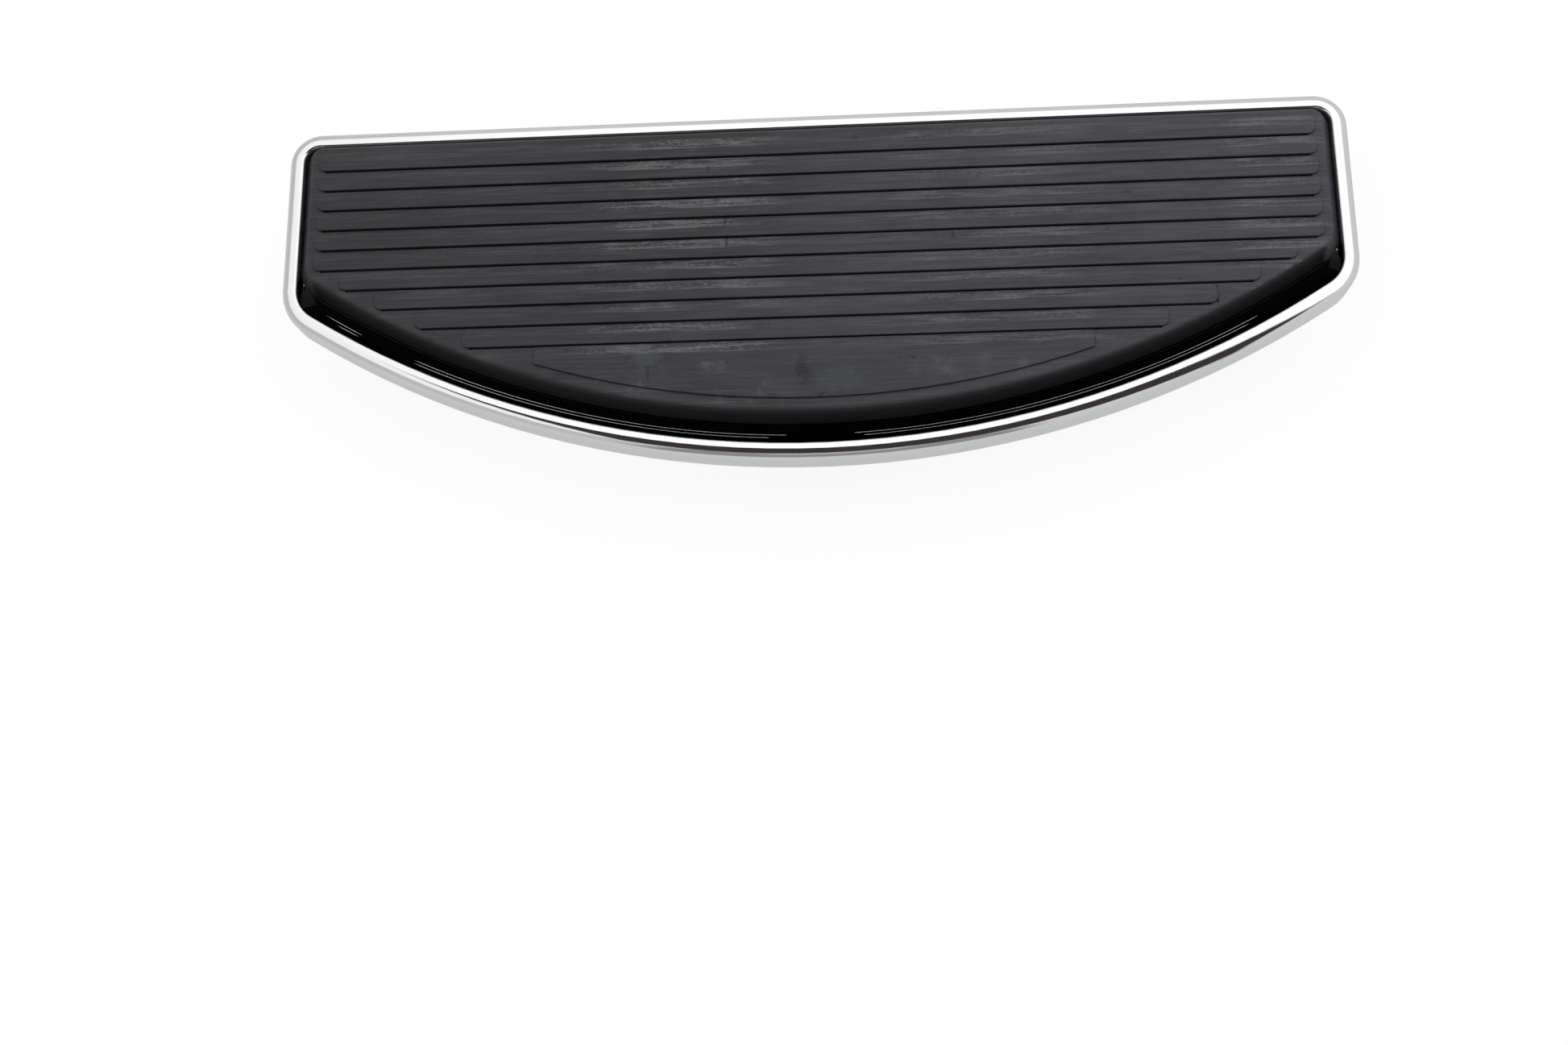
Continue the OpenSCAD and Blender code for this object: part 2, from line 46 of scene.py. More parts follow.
BODY = "root"
MM = 0.001
WELD = 1e-6

Colour = tuple[float, float, float]
Socket = bpy.types.NodeSocket


class Node(Enum):
    """The three pieces of the real board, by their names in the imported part."""

    PAN = "pan"
    TREAD = "tread_pad"
    PEG = "scrape_peg"


class Slot(Enum):
    """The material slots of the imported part."""

    PAN = "pan_chrome"
    TREAD = "tread_rubber"
    PEG = "peg_chrome"


@dataclass(frozen=True)
class Outline:
    """The D shaped outline of the board and the heights that the finishes follow."""

    half_length: float = 174.0 * MM
    edge_y: float = 9.5 * MM
    depth: float = 118.3 * MM
    curve_r: float = 309.252 * MM
    rim_width: float = 5.5 * MM
    crown_z: float = 17.2 * MM
    floor_top_z: float = 12.7 * MM
    floor_z: float = 9.7 * MM
    first_step: float = 15.4 * MM
    step_pitch: float = 7.07 * MM
    tread_top_z: float = 19.2 * MM

    @property
    def curve_y(self) -> float:
        """Where the centre of the curved edge lies along Y."""
        return self.edge_y - self.depth + self.curve_r


OUTLINE = Outline()


@dataclass(frozen=True)
class Ramp:
    """A smooth ramp from one range of numbers to another, held at its ends."""

    low: float
    high: float
    to_low: float = 0.0
    to_high: float = 1.0


@dataclass(frozen=True)
class Pattern:
    """A noise pattern: its features to a metre, its stretch along the axes and its finer layers."""

    scale: float
    detail: float = 4.0
    rough: float = 0.55
    distortion: float = 0.0
    stretch: Colour | None = None
    shift: Colour = (0.0, 0.0, 0.0)


class Graph:
    """A material's or a world's node tree, with short calls for the nodes that the finishes use."""

    def __init__(self, tree: bpy.types.NodeTree) -> None:
        """Takes a node tree and empties it.

        Args:
            tree: The node tree to build in.
        """
        self.tree = tree
        self.tree.nodes.clear()

    def add(self, kind: str, **settings: object) -> bpy.types.Node:
        """Adds a node and sets its properties.

        Args:
            kind: The node's type name without its ShaderNode prefix.
            **settings: Properties of the node, by name.

        Returns:
            The new node.
        """
        node = self.tree.nodes.new("ShaderNode" + kind)
        for name, value in settings.items():
            setattr(node, name, value)
        return node

    def feed(self, socket: Socket, value: object) -> None:
        """Links a socket to another one, or sets its value.

        Args:
            socket: The input to feed.
            value: An output socket, a number, or the numbers of a vector or colour.
        """
        if isinstance(value, bpy.types.NodeSocket):
            self.tree.links.new(value, socket)
        elif hasattr(value, "__len__") and len(value) == 3 and socket.type == "RGBA":
            socket.default_value = (*value, 1.0)
        else:
            socket.default_value = value

    def position(self) -> Socket:
        """Returns the place of a surface point in the object's own frame."""
        return self.add("TexCoord").outputs["Object"]

    def mapped(self, vector: Socket, scale: Colour, shift: Colour = (0.0, 0.0, 0.0)) -> Socket:
        """Scales and shifts a vector.

        Args:
            vector: The vector to map.
            scale: Its factors along X, Y and Z.
            shift: What is added to it.

        Returns:
            The mapped vector.
        """
        node = self.add("Mapping")
        self.feed(node.inputs["Vector"], vector)
        self.feed(node.inputs["Scale"], scale)
        self.feed(node.inputs["Location"], shift)
        return node.outputs["Vector"]

    def split(self, vector: Socket) -> tuple[Socket, Socket, Socket]:
        """Returns the X, Y and Z of a vector."""
        node = self.add("SeparateXYZ")
        self.feed(node.inputs[0], vector)
        return node.outputs[0], node.outputs[1], node.outputs[2]

    def noise(self, place: Socket, pattern: Pattern) -> Socket:
        """Adds a noise pattern.

        Args:
            place: Where the pattern is read.
            pattern: The pattern.

        Returns:
            The pattern as a number around 0.5.
        """
        node = self.add("TexNoise")
        if pattern.stretch is not None:
            place = self.mapped(place, pattern.stretch, pattern.shift)
        self.feed(node.inputs["Vector"], place)
        node.inputs["Scale"].default_value = pattern.scale
        node.inputs["Detail"].default_value = pattern.detail
        node.inputs["Roughness"].default_value = pattern.rough
        node.inputs["Distortion"].default_value = pattern.distortion
        return node.outputs["Fac"]

    def math(self, operation: str, first: object, second: object = 0.0, third: object = 0.0) -> Socket:
        """Adds a math node.

        Args:
            operation: The node's operation.
            first: Its first number or socket.
            second: Its second number or socket.
            third: Its third number or socket.

        Returns:
            The result.
        """
        node = self.add("Math", operation=operation)
        for socket, value in zip(node.inputs, (first, second, third)):
            self.feed(socket, value)
        return node.outputs[0]

    def product(self, first: object, *others: object) -> Socket:
        """Returns the product of two or more numbers."""
        for other in others:
            first = self.math("MULTIPLY", first, other)
        return first

    def highest(self, first: object, *others: object) -> Socket:
        """Returns the highest of two or more numbers."""
        for other in others:
            first = self.math("MAXIMUM", first, other)
        return first

    def off(self, value: Socket, middle: float) -> Socket:
        """Returns how far a number lies from another one."""
        return self.math("ABSOLUTE", self.math("SUBTRACT", value, middle))

    def inset(self, x: Socket, y: Socket) -> tuple[Socket, Socket]:
        """Finds how far a point lies inside the board's outline.

        Args:
            x: The point's place along the board.
            y: Its place across the board.

        Returns:
            Its distance from the curved edge, and from the nearest edge of all.
        """
        rise = self.math("SUBTRACT", y, OUTLINE.curve_y)
        squares = self.math("ADD", self.math("MULTIPLY", x, x), self.math("MULTIPLY", rise, rise))
        reach = self.math("SQRT", squares)
        curved = self.math("SUBTRACT", OUTLINE.curve_r, reach)
        ends = self.math("SUBTRACT", OUTLINE.half_length, self.math("ABSOLUTE", x))
        straight = self.math("SUBTRACT", OUTLINE.edge_y, y)
        return curved, self.math("MINIMUM", curved, self.math("MINIMUM", ends, straight))

    def ramp(self, value: Socket, ramp: Ramp) -> Socket:
        """Maps a number by a smooth ramp.

        Args:
            value: The number.
            ramp: The ramp.

        Returns:
            The mapped number.
        """
        node = self.add("MapRange", interpolation_type="SMOOTHSTEP")
        for name, number in (("Value", value), ("From Min", ramp.low), ("From Max", ramp.high),
                             ("To Min", ramp.to_low), ("To Max", ramp.to_high)):
            self.feed(node.inputs[name], number)
        return node.outputs["Result"]

    def mix(self, share: object, first: object, second: object, kind: str = "MIX") -> Socket:
        """Mixes two colours.

        Args:
            share: The share of the second colour.
            first: The first colour or socket.
            second: The second colour or socket.
            kind: How they are blended.

        Returns:
            The mixed colour.
        """
        node = self.add("Mix", data_type="RGBA", blend_type=kind)
        self.feed(node.inputs[0], share)
        self.feed(node.inputs[6], first)
        self.feed(node.inputs[7], second)
        return node.outputs[2]

    def bump(self, height: Socket, strength: float, distance: float, normal: Socket) -> Socket:
        """Turns a height pattern into a normal.

        Args:
            height: The pattern.
            strength: Its share of effect.
            distance: The height that 1 stands for, in metres.
            normal: The normal that it starts from.

        Returns:
            The new normal.
        """
        node = self.add("Bump")
        node.inputs["Strength"].default_value = strength
        node.inputs["Distance"].default_value = distance
        self.feed(node.inputs["Height"], height)
        self.feed(node.inputs["Normal"], normal)
        return node.outputs["Normal"]

    def soft_edges(self, radius: float) -> Socket:
        """Returns a normal that is rounded across sharp edges within a radius."""
        node = self.add("Bevel", samples=6)
        node.inputs["Radius"].default_value = radius
        return node.outputs["Normal"]

    def crease(self, distance: float) -> Socket:
        """Returns 1 on open surface, falling to 0 in inner corners narrower than a distance."""
        node = self.add("AmbientOcclusion", samples=8, only_local=True)
        node.inputs["Distance"].default_value = distance
        return node.outputs["AO"]


def new_material(name: str) -> tuple[bpy.types.Material, Graph, bpy.types.Node]:
    """Makes an empty material with a Principled shader linked to its output.

    Args:
        name: The material's name.

    Returns:
        The material, its graph and its shader node.
    """
    material = bpy.data.materials.new(name)
    material.use_nodes = True
    graph = Graph(material.node_tree)
    shader = graph.add("BsdfPrincipled")
    output = graph.add("OutputMaterial")
    graph.feed(output.inputs["Surface"], shader.outputs["BSDF"])
    return material, graph, shader


@dataclass(frozen=True)
class CastChrome:
    """Bright plating over the die cast pan: mirror smooth on the rim, satin on the underside."""

    name: str = "cast_chrome"
    tone: Colour = (0.88, 0.885, 0.89)
    warm_tone: Colour = (0.86, 0.80, 0.73)
    # painted reflection: near black on the ledge, in place of the black rubber that the chrome mirrors there
    painted_ledge_reflection: Colour = (0.012, 0.012, 0.013)
    rim_roughness: float = 0.035
    edge_radius: float = 0.25 * MM
    underside: Ramp = Ramp(OUTLINE.floor_z + 0.1 * MM, OUTLINE.floor_z + 0.6 * MM, 1.0, 0.0)
    inside_rim: Ramp = Ramp(OUTLINE.rim_width - 0.3 * MM, OUTLINE.rim_width - 0.05 * MM)
    along_curve: Ramp = Ramp(13.0 * MM, 14.0 * MM, 1.0, 0.0)
    under_crown: Ramp = Ramp(OUTLINE.crown_z - 1.1 * MM, OUTLINE.crown_z - 0.7 * MM, 1.0, 0.0)
    over_floor: Ramp = Ramp(OUTLINE.floor_top_z - 0.5 * MM, OUTLINE.floor_top_z - 0.2 * MM)
    pocket_reach: float = 9.0 * MM
    pockets: Ramp = Ramp(0.55, 0.98, 1.0, 0.0)
    clouds: Pattern = Pattern(22.0, 3.0)
    clouded: Ramp = Ramp(0.3, 0.65)
    grain: Pattern = Pattern(420.0, 3.0)
    satin: Ramp = Ramp(0.35, 0.75, 0.15, 0.23)
    swell: Pattern = Pattern(38.0, 2.0)
    swell_height: float = 0.10 * MM
    grain_height: float = 0.02 * MM
    bump_share: float = 0.12

    def ledge(self, graph: Graph, x: Socket, y: Socket, z: Socket) -> Socket:
        """Returns 1 where a painted dark reflection covers the ledge and the rim's inner wall along the
        curved edge, 0 on bright plating.
        """
        curved, nearest = graph.inset(x, y)
        return graph.product(graph.ramp(nearest, self.inside_rim), graph.ramp(curved, self.along_curve),
                             graph.ramp(z, self.under_crown), graph.ramp(z, self.over_floor))

    def build(self) -> bpy.types.Material:
        """Returns the plating of the pan."""
        material, graph, shader = new_material(self.name)
        place = graph.position()
        x, y, z = graph.split(place)
        below = graph.ramp(z, self.underside)
        corner = graph.crease(self.pocket_reach)
        warm = graph.product(graph.ramp(corner, self.pockets), below,
                             graph.ramp(graph.noise(place, self.clouds), self.clouded))
        tone = graph.mix(warm, self.tone, self.warm_tone)
        # painted reflection: the ledge and the rim's inner wall are coloured near black instead of mirroring
        # the rubber
        tone = graph.mix(self.ledge(graph, x, y, z), tone, self.painted_ledge_reflection)
        graph.feed(shader.inputs["Base Color"], tone)
        grain = graph.noise(place, self.grain)
        rough = graph.mix(below, (self.rim_roughness,) * 3, graph.ramp(grain, self.satin))
        graph.feed(shader.inputs["Roughness"], rough)
        shader.inputs["Metallic"].default_value = 1.0
        soft = graph.soft_edges(self.edge_radius)
        normal = graph.bump(graph.noise(place, self.swell), self.bump_share, self.swell_height, soft)
        normal = graph.bump(grain, self.bump_share, self.grain_height, normal)
        graph.feed(shader.inputs["Normal"], normal)
        return material


@dataclass(frozen=True)
class TurnedChrome:
    """Plating over a turned stud, with fine rings left by the tool."""

    name: str = "turned_chrome"
    tone: Colour = (0.87, 0.875, 0.88)
    roughness: float = 0.09
    uneven: tuple[float, float] = (0.7, 1.5)
    edge_radius: float = 0.2 * MM
    ring_share: float = 0.08
    ring_height: float = 0.02 * MM
    rings: Pattern = Pattern(1.6, 2.0, stretch=(900.0, 900.0, 900.0))
    clouds: Pattern = Pattern(300.0, 3.0)

    def build(self) -> bpy.types.Material:
        """Returns the finish of the turned pieces."""
        material, graph, shader = new_material(self.name)
        place = graph.position()
        shader.inputs["Base Color"].default_value = (*self.tone, 1.0)
        shader.inputs["Metallic"].default_value = 1.0
        least, most = self.uneven
        clouded = Ramp(0.3, 0.7, self.roughness * least, self.roughness * most)
        graph.feed(shader.inputs["Roughness"], graph.ramp(graph.noise(place, self.clouds), clouded))
        if self.ring_share > 0.0:
            pattern = graph.noise(place, self.rings)
            soft = graph.soft_edges(self.edge_radius)
            graph.feed(shader.inputs["Normal"], graph.bump(pattern, self.ring_share, self.ring_height, soft))
        return material


@dataclass(frozen=True)
class Mark:
    """One mark of wear on the tread: an upright ellipse with a broken edge, in millimetres."""

    x: float
    y: float
    half_x: float
    half_y: float
    share: float
    broken: float = 3.2
    edge: float = 0.2

    def draw(self, graph: Graph, x: Socket, y: Socket, ragged: Socket) -> Socket:
        """Draws the mark.

        Args:
            graph: The material's graph.
            x: The point's place along the board.
            y: Its place across the board.
            ragged: A pattern that breaks the mark's edge.

        Returns:
            The mark's share, falling to 0 outside it.
        """
        over_x = graph.math("DIVIDE", graph.math("SUBTRACT", x, self.x * MM), self.half_x * MM)
        over_y = graph.math("DIVIDE", graph.math("SUBTRACT", y, self.y * MM), self.half_y * MM)
        far = graph.math("ADD", graph.math("POWER", graph.math("ABSOLUTE", over_x), 2.0),
                         graph.math("POWER", graph.math("ABSOLUTE", over_y), 2.0))
        far = graph.math("MULTIPLY_ADD", ragged, self.broken, graph.math("SUBTRACT", far, self.broken / 2))
        return graph.ramp(far, Ramp(self.edge, 1.0, self.share, 0.0))


@dataclass(frozen=True)
class Stretch:
    """A stretch along the board where the tread is scuffed."""

    middle: float
    reach: float
    share: float
    full: float = 0.35

    def draw(self, graph: Graph, x: Socket) -> Socket:
        """Returns the stretch's share at a place along the board."""
        fading = Ramp(self.full * self.reach, self.reach, self.share, 0.0)
        return graph.ramp(graph.off(x, self.middle), fading)


@dataclass(frozen=True)
class ScuffsAndCrestHighlight:
    """Scuffing on the far half of each strip, a painted highlight as a bright line on its crest, and patches
    on the last one.
    """

    crest: float = 0.48
    far_start: Ramp = Ramp(0.43, 0.51)
    far_end: Ramp = Ramp(0.86, 0.97, 1.0, 0.0)
    # painted highlight: the bright line along each strip's crest
    line: Ramp = Ramp(0.015, 0.05, 0.7, 0.0)
    line_breaks: Ramp = Ramp(0.4, 0.6)
    near_streaks: Ramp = Ramp(0.52, 0.74, 0.0, 0.16)
    torn_streaks: Ramp = Ramp(0.42, 0.62, 0.0, 0.55)
    torn_grain: Ramp = Ramp(0.46, 0.68, 0.0, 0.45)
    patched: Ramp = Ramp(0.30, 0.56, 0.15, 1.0)
    curved_patches: Ramp = Ramp(0.52, 0.74, 0.0, 0.45)
    straight_strips: Ramp = Ramp(-77.3 * MM, -76.3 * MM)
    patch: Pattern = Pattern(1.0, 3.0, 0.6)
    grain: Pattern = Pattern(1.0, 3.0, 0.6, stretch=(700.0, 1500.0, 700.0))
    curved: Pattern = Pattern(95.0, 5.0, 0.65)
    patch_step: tuple[float, float] = (26.0, 3.7)
    stretches: tuple[Stretch, ...] = (
        Stretch(-42 * MM, 42 * MM, 1.0),
        Stretch(60 * MM, 48 * MM, 0.55),
        Stretch(149 * MM, 22 * MM, 0.7),
    )
    plain_share: float = 0.15

    def draw(self, graph: Graph, place: Socket, streak: Socket) -> Socket:
        """Draws the scuffing and the painted crest highlight.

        Args:
            graph: The material's graph.
            place: The point.
            streak: A pattern of fine lines along the board.

        Returns:
            The share of scuffing and painted highlight, from 0 to 1.
        """
        x, y, _ = graph.split(place)
        rows = graph.math("DIVIDE", graph.math("SUBTRACT", y, OUTLINE.edge_y - OUTLINE.first_step),
                          OUTLINE.step_pitch)
        strip, across = graph.math("FLOOR", rows), graph.math("FRACT", rows)
        own = graph.add("CombineXYZ")
        for socket, value, step in zip(own.inputs, (x, strip), self.patch_step):
            graph.feed(socket, graph.math("MULTIPLY", value, step))
        torn = graph.math("ADD", graph.ramp(streak, self.torn_streaks),
                          graph.ramp(graph.noise(place, self.grain), self.torn_grain))
        straight = graph.ramp(y, self.straight_strips)
        far_half = graph.product(graph.ramp(across, self.far_start), graph.ramp(across, self.far_end),
                                 straight, torn)
        # painted highlight: a bright line along the crest of each straight strip
        line = graph.product(graph.ramp(graph.off(across, self.crest), self.line), straight,
                             graph.ramp(streak, self.line_breaks))
        curved = graph.product(graph.ramp(graph.noise(place, self.curved), self.curved_patches),
                               graph.math("SUBTRACT", 1.0, straight))
        total = graph.highest(far_half, line, curved, graph.ramp(streak, self.near_streaks))
        worn = graph.highest(self.plain_share, *(stretch.draw(graph, x) for stretch in self.stretches))
        patch = graph.ramp(graph.noise(own.outputs[0], self.patch), self.patched)
        return graph.product(total, patch, worn)


@dataclass(frozen=True)
class TreadRubber:
    """Moulded black rubber: dull, worn grey along each strip, with marks, stains and specks of dust, plus
    painted light and shade: a highlight on each crest, a top painted brighter towards the right, sides
    painted darker towards their foot and painted shade in inner corners.
    """

    name: str = "tread_rubber"
    # painted shade: the tread's sides are near black at their foot and painted lighter towards the top edge
    painted_skirt_shade: Colour = (0.0062, 0.0066, 0.0072)
    lit_skirt_top: Colour = (0.0300, 0.0310, 0.0340)
    # painted light: the top is painted darker at the left end and lighter at the right end
    shaded_left_tone: Colour = (0.0425, 0.0445, 0.0505)
    lit_right_tone: Colour = (0.0680, 0.0705, 0.0815)
    scuff_and_highlight: Colour = (0.290, 0.272, 0.280)
    chalk: Colour = (0.130, 0.150, 0.155)
    dust: Colour = (0.42, 0.43, 0.45)
    shade: Colour = (0.006, 0.006, 0.007)
    # painted shade: near black for the tread's inner corners
    painted_crease_shade: Colour = (0.001, 0.001, 0.001)
    specular: float = 0.42
    edge_radius: float = 0.12 * MM
    scuffs_and_highlight: ScuffsAndCrestHighlight = ScuffsAndCrestHighlight()
    scuff_and_highlight_share: float = 0.9
    left_to_right: Ramp = Ramp(-150 * MM, 120 * MM)
    top: Ramp = Ramp(OUTLINE.tread_top_z - 0.7 * MM, OUTLINE.tread_top_z - 0.3 * MM)
    skirt_shade_fade: Ramp = Ramp(OUTLINE.tread_top_z - 2.6 * MM, OUTLINE.tread_top_z - 0.5 * MM)
    end_skirt: Ramp = Ramp(162.0 * MM, 164.0 * MM)
    over_foot: Ramp = Ramp(OUTLINE.floor_top_z + 0.6 * MM, OUTLINE.floor_top_z + 1.6 * MM)
    streak: Pattern = Pattern(1.0, 5.0, 0.62, 0.3, (55.0, 1300.0, 90.0))
    streaked: Ramp = Ramp(0.3, 0.7, 0.88, 1.14)
    polished: Ramp = Ramp(0.3, 0.8, 0.58, 0.42)
    broad: Pattern = Pattern(1.0, 4.0, 0.6, 0.0, (20.0, 60.0, 20.0))
    broadly: Ramp = Ramp(0.25, 0.75, 0.78, 1.22)
    stain: Pattern = Pattern(1.0, 3.0, stretch=(110.0, 260.0, 110.0), shift=(3.1, 0.7, 0.0))
    stained: Ramp = Ramp(0.68, 0.76, 0.0, 0.7)
    pale: Pattern = Pattern(75.0, 6.0, 0.7, 0.8)
    paled: Ramp = Ramp(0.62, 0.74)
    pale_middle: float = -40 * MM
    pale_reach: Ramp = Ramp(8 * MM, 26 * MM, 0.55, 0.0)
    speck_scale: float = 260.0
    speck: Ramp = Ramp(0.0, 0.05, 0.75, 0.0)
    rare: Pattern = Pattern(90.0, 1.0)
    rarely: Ramp = Ramp(0.6, 0.66)
    crease_reach: float = 0.7 * MM
    crease_shade_ramp: Ramp = Ramp(0.4, 0.9, 1.0, 0.0)
    streak_bump: float = 0.1
    streak_height: float = 0.04 * MM
    grain: Pattern = Pattern(1500.0, 3.0)
    grain_bump: float = 0.14
    grain_height: float = 0.03 * MM
    ragged: Pattern = Pattern(420.0, 4.0, 0.65)
    dark_marks: tuple[Mark, ...] = (
        Mark(-3.0, -80.0, 2.4, 6.0, 0.34),
        Mark(-1.5, -82.5, 3.4, 3.4, 0.22),
        Mark(-27.2, -28.5, 0.7, 2.6, 0.6),
        Mark(-26.8, -35.8, 0.55, 2.8, 0.6),
        Mark(-51.9, -80.0, 0.7, 3.2, 0.4),
        Mark(-30.5, -21.4, 2.2, 0.9, 0.45),
        Mark(-32.9, -10.2, 0.7, 1.6, 0.5),
        Mark(45.8, -36.4, 1.0, 1.6, 0.4),
    )
    chalk_marks: tuple[Mark, ...] = (
        Mark(-52.2, -74.6, 6.0, 3.4, 0.3),
        Mark(-52.2, -8.2, 9.0, 1.8, 0.35),
        Mark(8.0, -84.0, 9.0, 5.0, 0.16),
    )

    def marked(self, graph: Graph, place: Socket, base: Socket) -> Socket:
        """Lays the single chalky and dark marks over a colour.

        Args:
            graph: The material's graph.
            place: The point.
            base: The colour without them.

        Returns:
            The colour with them.
        """
        x, y, _ = graph.split(place)
        ragged = graph.noise(place, self.ragged)
        for marks, tone in ((self.chalk_marks, self.chalk), (self.dark_marks, self.shade)):
            for mark in marks:
                base = graph.mix(mark.draw(graph, x, y, ragged), base, tone)
        return base

    def worn_top(self, graph: Graph, place: Socket, streak: Socket) -> Socket:
        """Colours the top of the tread.

        Args:
            graph: The material's graph.
            place: The point.
            streak: A pattern of fine lines along the board.

        Returns:
            The colour of the top, with its stains, scuffing, marks, a painted highlight on each crest and
            painted light that brightens it towards the right.
        """
        x, _, _ = graph.split(place)
        # painted light: the top's colour brightens from the left end to the right end
        base = graph.mix(graph.ramp(x, self.left_to_right), self.shaded_left_tone, self.lit_right_tone)
        base = graph.mix(1.0, base, graph.ramp(graph.noise(place, self.broad), self.broadly), "MULTIPLY")
        base = graph.mix(1.0, base, graph.ramp(streak, self.streaked), "MULTIPLY")
        base = graph.mix(graph.ramp(graph.noise(place, self.stain), self.stained), base, self.shade)
        scuffs_and_highlight = graph.product(self.scuffs_and_highlight.draw(graph, place, streak), self.scuff_and_highlight_share)
        base = graph.mix(scuffs_and_highlight, base, self.scuff_and_highlight)
        pale = graph.product(graph.ramp(graph.noise(place, self.pale), self.paled),
                             graph.ramp(graph.off(x, self.pale_middle), self.pale_reach))
        return self.marked(graph, place, graph.mix(pale, base, self.chalk))

    def dusted(self, graph: Graph, place: Socket, base: Socket, top: Socket) -> Socket:
        """Scatters specks of dust over a colour.

        Args:
            graph: The material's graph.
            place: The point.
            base: The colour without them.
            top: 1 on the top of the tread, 0 below it.

        Returns:
            The colour with them.
        """
        specks = graph.add("TexVoronoi")
        graph.feed(specks.inputs["Vector"], place)
        specks.inputs["Scale"].default_value = self.speck_scale
        share = graph.product(graph.ramp(specks.outputs["Distance"], self.speck),
                              graph.ramp(graph.noise(place, self.rare), self.rarely), top)
        return graph.mix(share, base, self.dust)

    def build(self) -> bpy.types.Material:
        """Returns the finish of the tread and its nipples."""
        material, graph, shader = new_material(self.name)
        place = graph.position()
        x, _, z = graph.split(place)
        streak = graph.noise(place, self.streak)
        top = graph.ramp(z, self.top)
        ends = graph.product(graph.ramp(graph.math("ABSOLUTE", x), self.end_skirt),
                             graph.ramp(z, self.over_foot))
        # painted shade and light on the sides: darker towards the foot, lighter towards the top edge; the
        # top and the end faces above their foot take the top's colour
        painted_skirt_shade = graph.mix(graph.ramp(z, self.skirt_shade_fade), self.painted_skirt_shade, self.lit_skirt_top)
        base = graph.mix(graph.highest(top, ends), painted_skirt_shade, self.worn_top(graph, place, streak))
        base = self.dusted(graph, place, base, top)
        # painted shade: inner corners of the tread, such as the foot of each step, are darkened to near
        # black
        corner = graph.ramp(graph.crease(self.crease_reach), self.crease_shade_ramp)
        graph.feed(shader.inputs["Base Color"], graph.mix(corner, base, self.painted_crease_shade))
        graph.feed(shader.inputs["Roughness"], graph.ramp(streak, self.polished))
        shader.inputs["Specular IOR Level"].default_value = self.specular
        soft = graph.soft_edges(self.edge_radius)
        normal = graph.bump(streak, self.streak_bump, self.streak_height, soft)
        normal = graph.bump(graph.noise(place, self.grain), self.grain_bump, self.grain_height, normal)
        graph.feed(shader.inputs["Normal"], normal)
        return material


@dataclass(frozen=True)
class PaleFloor:
    """A plain pale floor: nearly white to the camera, light grey in the plating's reflections."""

    name: str = "pale_floor"
    tone: float = 0.25
    roughness: float = 0.9
    seen_glow: float = 0.86
    mirrored_glow: float = 0.47
    clouds: Pattern = Pattern(3.0, 2.0)
    clouded: Ramp = Ramp(0.2, 0.8, 0.99, 1.0)

    def build(self) -> bpy.types.Material:
        """Returns the floor's finish."""
        material, graph, shader = new_material(self.name)
        share = graph.ramp(graph.noise(graph.position(), self.clouds), self.clouded)
        direct = graph.add("LightPath").outputs["Is Camera Ray"]
        graph.feed(shader.inputs["Base Color"], graph.mix(1.0, (self.tone,) * 3, share, "MULTIPLY"))
        shader.inputs["Roughness"].default_value = self.roughness
        shader.inputs["Specular IOR Level"].default_value = 0.0
        shader.inputs["Emission Color"].default_value = (1.0, 1.0, 1.0, 1.0)
        glow = graph.math("MULTIPLY_ADD", direct, self.seen_glow - self.mirrored_glow, self.mirrored_glow)
        graph.feed(shader.inputs["Emission Strength"], glow)
        return material


def finish_piece(shape: bmesh.types.BMesh, name: str, material: bpy.types.Material) -> None:
    """Turns a finished shape into a piece that rides on the board.

    Args:
        shape: The shape, in the board's frame. It is freed.
        name: The piece's name.
        material: Its material.
    """
    bmesh.ops.remove_doubles(shape, verts=shape.verts[:], dist=WELD)
    bmesh.ops.recalc_face_normals(shape, faces=shape.faces[:])
    for face in shape.faces:
        face.smooth = True
    mesh = bpy.data.meshes.new(name)
    shape.to_mesh(mesh)
    shape.free()
    mesh.materials.append(material)
    piece = bpy.data.objects.new(name, mesh)
    bpy.context.scene.collection.objects.link(piece)
    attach(piece, BODY)
    LOG.info("%s: %d faces", name, len(mesh.polygons))


@dataclass
class SparePegHole:
    """The empty threaded hole in the left slanted boss, whose thread is modelled here."""

    finish: bpy.types.Material
    face: Vector = field(default_factory=lambda: Vector((-95.8 * MM, -51.6 * MM, 1.9 * MM)))
    lean: float = 40.0
    turn: float = 42.0
    wall_r: float = 2.52 * MM
    crest_r: float = 2.12 * MM
    pitch: float = 1.0 * MM
    half_width: float = 0.42 * MM
    start_depth: float = 1.5 * MM
    turns: int = 10
    steps_per_turn: int = 40

    def placement(self) -> Matrix:
        """Returns the matrix from the hole's own frame, with its mouth at the origin, to the board's."""
        lean = Matrix.Rotation(math.radians(self.lean - 180.0), 4, "Y")
        turn = Matrix.Rotation(math.radians(self.turn), 4, "Z")
        return Matrix.Translation(self.face) @ turn @ lean

    def build(self) -> None:
        """Winds the thread: one triangle spun down the hole."""
        shape = bmesh.new()
        top, half = -self.start_depth, self.half_width
        corners = [(self.wall_r, top + half), (self.crest_r, top), (self.wall_r, top - half)]
        verts = [shape.verts.new((r, 0.0, z)) for r, z in corners]
        face = shape.faces.new(verts)
        steps = self.turns * self.steps_per_turn
        drop = Vector((0.0, 0.0, -self.pitch * self.turns / steps))
        bmesh.ops.spin(shape, geom=[face] + face.edges[:] + face.verts[:], cent=(0, 0, 0), axis=(0, 0, 1),
                       dvec=drop, angle=math.tau * self.turns, steps=steps, use_duplicate=False)
        bmesh.ops.transform(shape, matrix=self.placement(), verts=shape.verts[:])
        finish_piece(shape, "spare_hole_thread", self.finish)


